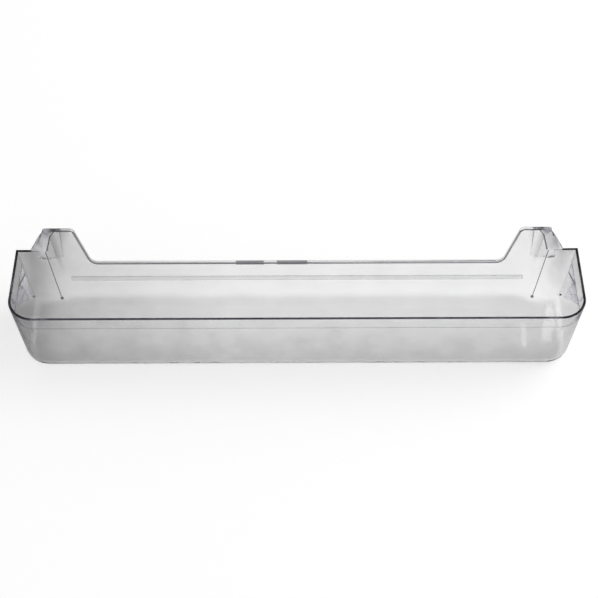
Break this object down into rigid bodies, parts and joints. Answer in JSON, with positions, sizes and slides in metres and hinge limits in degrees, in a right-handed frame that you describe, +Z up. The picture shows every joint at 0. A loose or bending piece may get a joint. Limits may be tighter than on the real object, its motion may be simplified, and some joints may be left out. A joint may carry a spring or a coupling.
{
  "type": "fridge door shelf",
  "caption": "Clear moulded fridge door shelf: a long open tray with rounded front corners, a low back rim and hook ears that hang it on the door.",
  "frame": {"origin": "middle of the bounding box at its underside, on the surface that the shelf stands on", "axes": "+X along the shelf, +Y from the room side to the door side, +Z up"},
  "size_m": [0.4942, 0.0894, 0.085],
  "materials": {
    "clear_polystyrene": "clear, smooth moulded gloss"
  },
  "bodies": {
    "root": {"door_shelf": "clear_polystyrene"}
  },
  "joints": []
}
